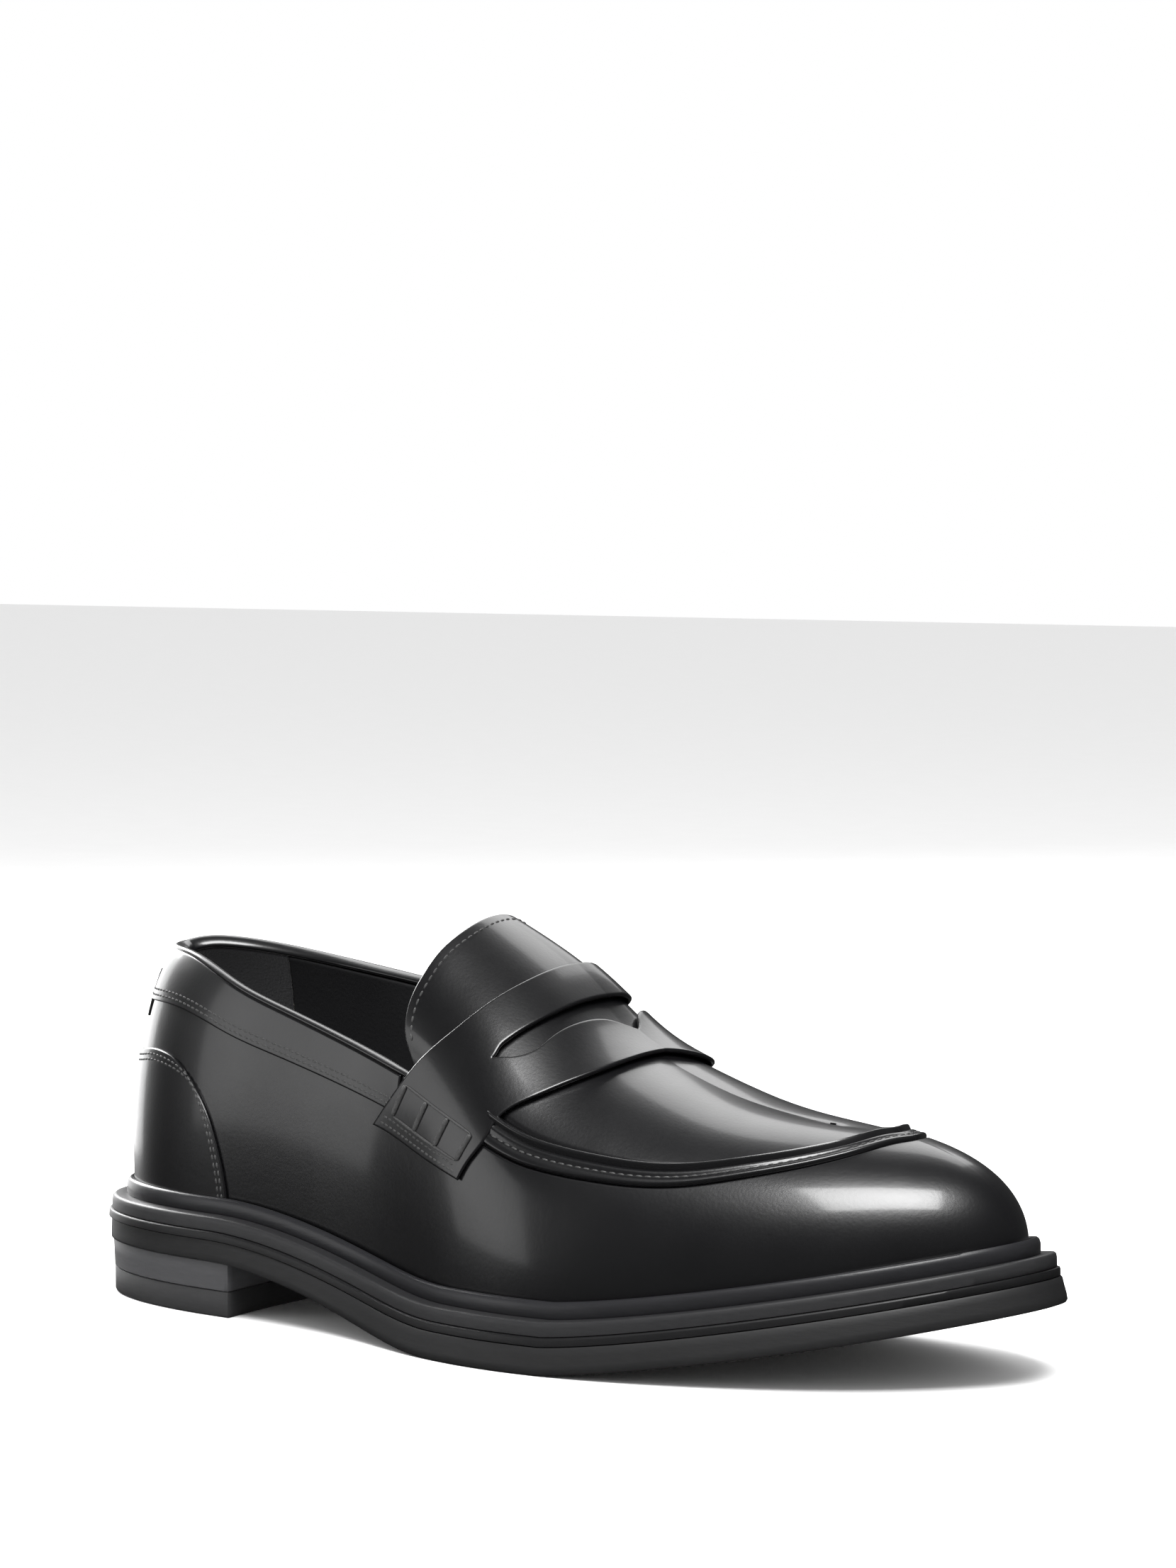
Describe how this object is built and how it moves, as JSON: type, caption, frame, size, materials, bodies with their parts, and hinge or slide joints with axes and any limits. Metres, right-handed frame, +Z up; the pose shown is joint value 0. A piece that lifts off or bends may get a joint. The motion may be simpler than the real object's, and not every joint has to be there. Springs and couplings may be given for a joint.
{
  "type": "penny loafer",
  "caption": "Black leather penny loafer for the right foot, with a slotted strap, raised apron seam, storm welt and low stacked heel.",
  "frame": {"origin": "ground under the middle of the sole's plan, heel and toe standing on z = 0", "axes": "+X from heel to toe, +Y to the wearer's inner side (this is a right shoe), +Z up"},
  "size_m": [0.3137, 0.1128, 0.1159],
  "materials": {
    "box_calf": "gloss",
    "lining_leather": "satin",
    "grip_suede": "matte",
    "rubber_sole": "matte",
    "welt_edge": "satin",
    "heel_stack": "matte",
    "steel": "satin",
    "cork": "matte",
    "insole_board": "matte",
    "foam": "matte",
    "stiffener": "matte",
    "thread": "satin"
  },
  "bodies": {
    "shoe": {"outsole": "rubber_sole", "midsole": "rubber_sole", "welt_layer": "welt_edge", "storm_welt": "welt_edge", "heel_lift": "heel_stack", "heel_top_piece": "rubber_sole", "heel_nails": "steel", "shank": "steel", "cork_filler": "cork", "insole_board": "insole_board", "heel_pad": "foam", "sock_liner": "lining_leather", "upper_body": "box_calf", "counter_patch": "box_calf", "back_strap": "box_calf", "collar_band": "box_calf", "topline_binding": "box_calf", "heel_stiffener": "stiffener", "toe_puff": "stiffener", "side_stay_outer": "stiffener", "side_stay_inner": "stiffener", "vamp_lining": "lining_leather", "quarter_lining_outer": "lining_leather", "quarter_lining_inner": "lining_leather", "heel_grip": "grip_suede", "apron_plug": "box_calf", "apron_rim": "box_calf", "penny_strap": "box_calf", "strap_lacing_outer": "thread", "strap_lacing_inner": "thread"},
    "tongue_flap": {"tongue": "box_calf", "tongue_lining": "lining_leather"}
  },
  "joints": [
    {"name": "tongue_flex", "type": "hinge", "parent": "shoe", "child": "tongue_flap", "pos_m": [-0.00279, 0.01479, 0.10309], "axis": [0, 1, 0], "range_deg": [0, 24], "stiffness_Nm_per_rad": 0.05}
  ]
}
